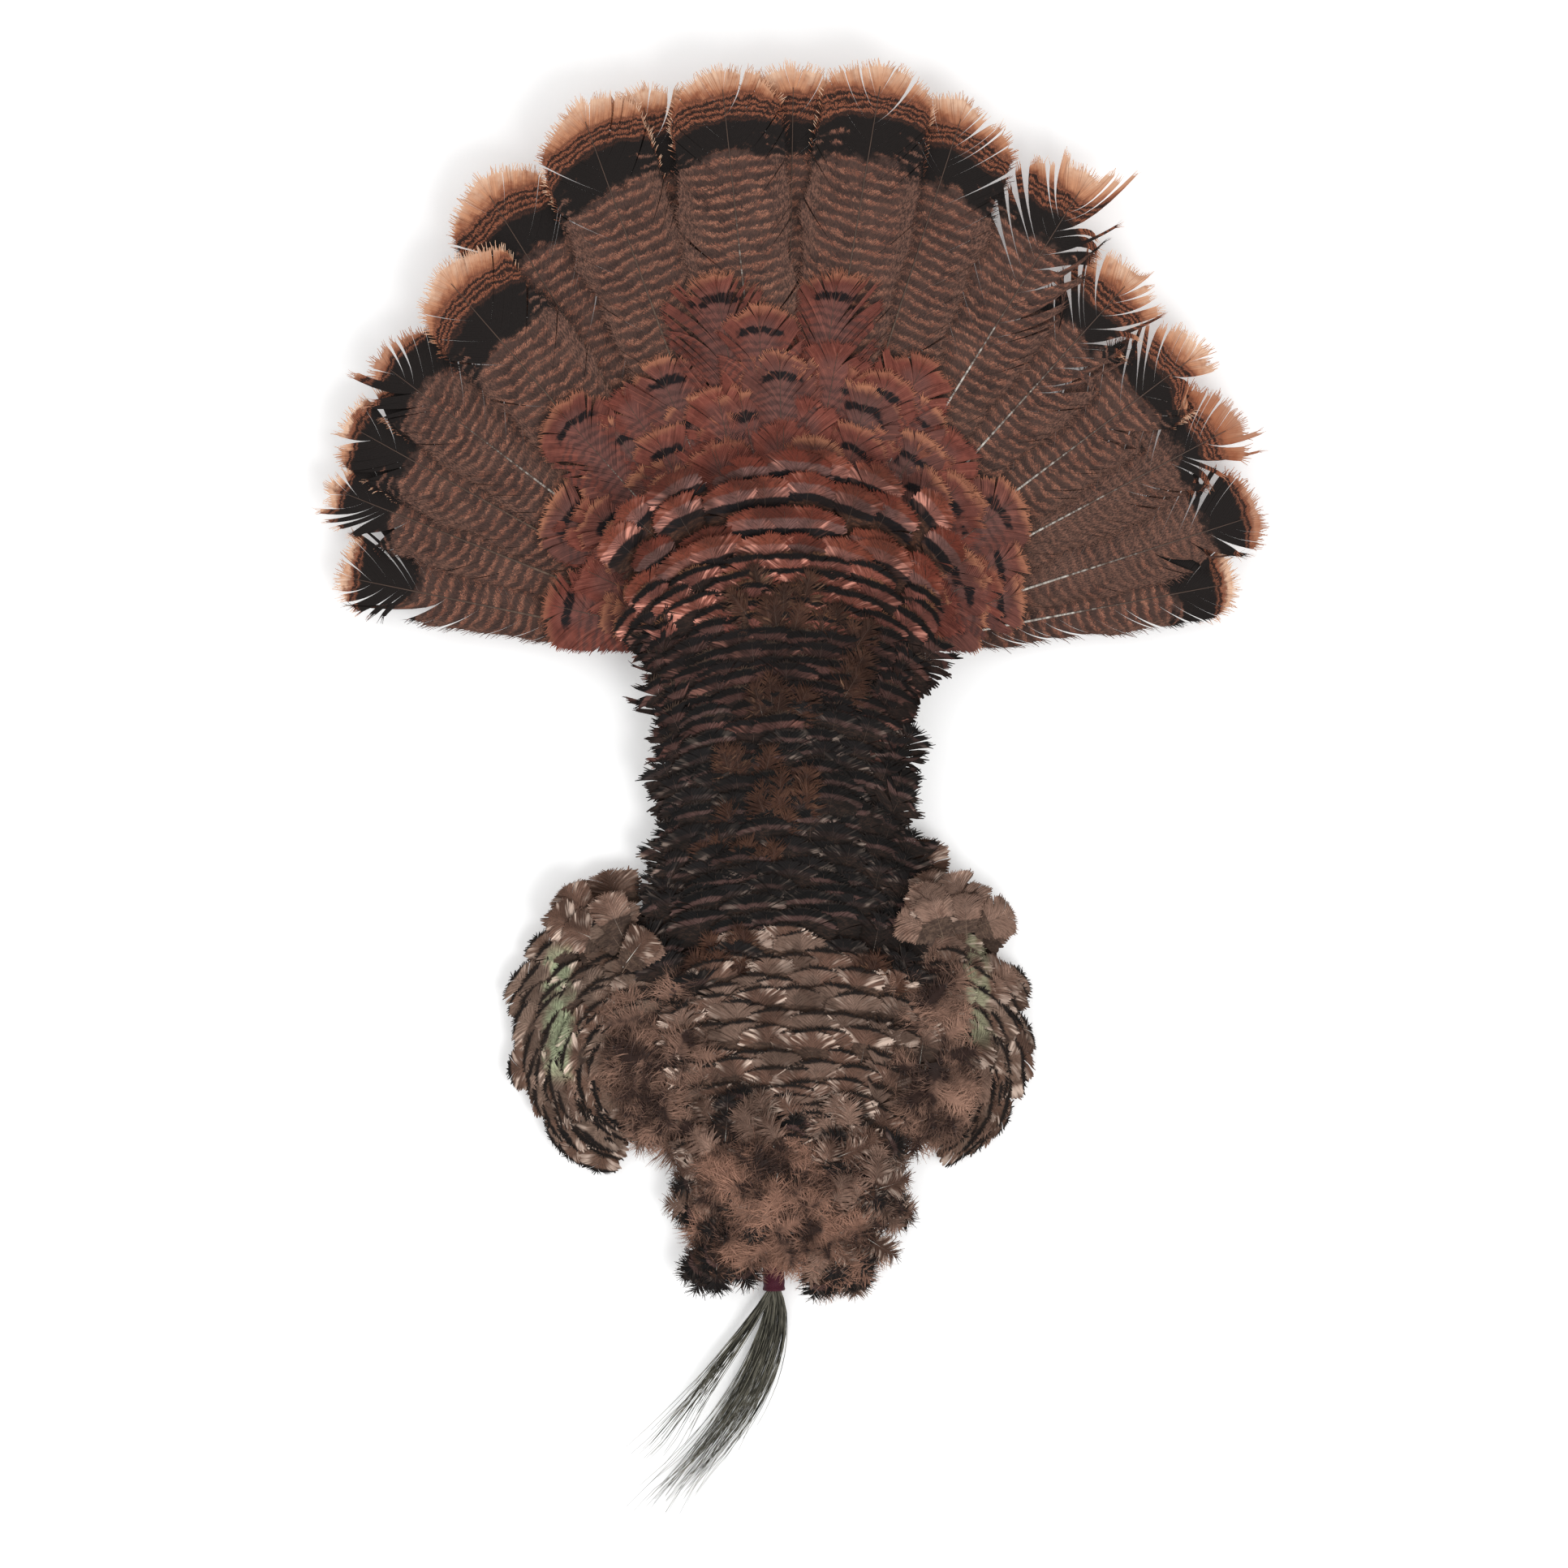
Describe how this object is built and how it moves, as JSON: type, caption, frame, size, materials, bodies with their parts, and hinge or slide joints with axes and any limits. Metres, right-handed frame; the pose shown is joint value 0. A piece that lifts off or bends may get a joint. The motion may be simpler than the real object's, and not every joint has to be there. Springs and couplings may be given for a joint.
{
  "type": "turkey tail and cape decoy",
  "caption": "Spread wild turkey tail with its dried back cape, two shoulder patches and a beard in a sleeve, lying flat on its skin side.",
  "frame": {"origin": "the hub where the tail quills meet, at the mouth of the hanger hole in the back plane", "axes": "+Z out of the feathered side, +Y to the tips of the middle tail feathers, -Y to the neck and beard, +X to the right seen from the feathered side"},
  "size_m": [0.6825, 1.0425, 0.0539],
  "materials": {
    "base_filler": "light rigid foam and filler, sanded and matte",
    "tail_vane": "matte feather vane, dark with jagged chestnut bars, a black band and a buff tip",
    "covert_vane": "soft chestnut feather vane with faint dark bars",
    "rump_vane": "copper iridescent vane with a velvet black band and a chestnut edge",
    "back_vane": "velvet black vane with a thin copper sheen",
    "mantle_vane": "bronze grey-brown vane with a thin black edge",
    "shoulder_vane": "bronze to green iridescent vane with a thin black edge",
    "down": "loose brown down",
    "skin": "dried rawhide, translucent and dry",
    "thread": "waxed thread",
    "sleeve": "matte dark plum shrink tube",
    "beard_flesh": "dried skin",
    "bristle": "coarse black-brown bristles with a dull gloss"
  },
  "bodies": {
    "mount": {"tail_base": "base_filler", "tail_feather_01": "tail_vane", "tail_feather_02": "tail_vane", "tail_feather_03": "tail_vane", "tail_feather_04": "tail_vane", "tail_feather_05": "tail_vane", "tail_feather_06": "tail_vane", "tail_feather_07": "tail_vane", "tail_feather_08": "tail_vane", "tail_feather_09": "tail_vane", "tail_feather_10": "tail_vane", "tail_feather_11": "tail_vane", "tail_feather_12": "tail_vane", "tail_feather_13": "tail_vane", "tail_feather_14": "tail_vane", "tail_feather_15": "tail_vane", "tail_feather_16": "tail_vane", "tail_feather_17": "tail_vane", "tail_feather_18": "tail_vane", "tail_coverts_long": "covert_vane", "tail_coverts_outer": "covert_vane", "tail_coverts_middle": "covert_vane", "tail_coverts_inner": "covert_vane", "rump_feathers_1": "rump_vane", "rump_feathers_2": "rump_vane", "rump_feathers_3": "rump_vane", "rump_feathers_4": "rump_vane", "rump_feathers_5": "rump_vane", "back_feathers_1": "back_vane", "back_feathers_2": "back_vane", "back_feathers_3": "back_vane", "back_feathers_4": "back_vane", "back_feathers_5": "back_vane", "back_feathers_6": "back_vane", "mantle_feathers_1": "mantle_vane", "mantle_feathers_2": "mantle_vane", "mantle_feathers_3": "mantle_vane", "mantle_feathers_4": "mantle_vane", "mantle_feathers_5": "mantle_vane", "mantle_feathers_6": "mantle_vane", "mantle_feathers_7": "mantle_vane", "cape_skin": "skin", "left_shoulder_skin": "skin", "right_shoulder_skin": "skin", "left_shoulder_feathers_1": "shoulder_vane", "left_shoulder_feathers_2": "shoulder_vane", "left_shoulder_feathers_3": "shoulder_vane", "right_shoulder_feathers_1": "shoulder_vane", "right_shoulder_feathers_2": "shoulder_vane", "right_shoulder_feathers_3": "shoulder_vane", "neck_down_left": "down", "neck_down_middle": "down", "neck_down_right": "down", "beard_stitch": "thread"},
    "beard": {"beard_sleeve": "sleeve", "beard_root": "beard_flesh", "beard_bristles_main": "bristle", "beard_bristles_side": "bristle"}
  },
  "joints": [
    {"name": "beard_swing", "type": "hinge", "parent": "mount", "child": "beard", "pos_m": [-0.007, -0.421, 0.004], "axis": [0, 0, 1], "range_deg": [-20, 25]}
  ]
}
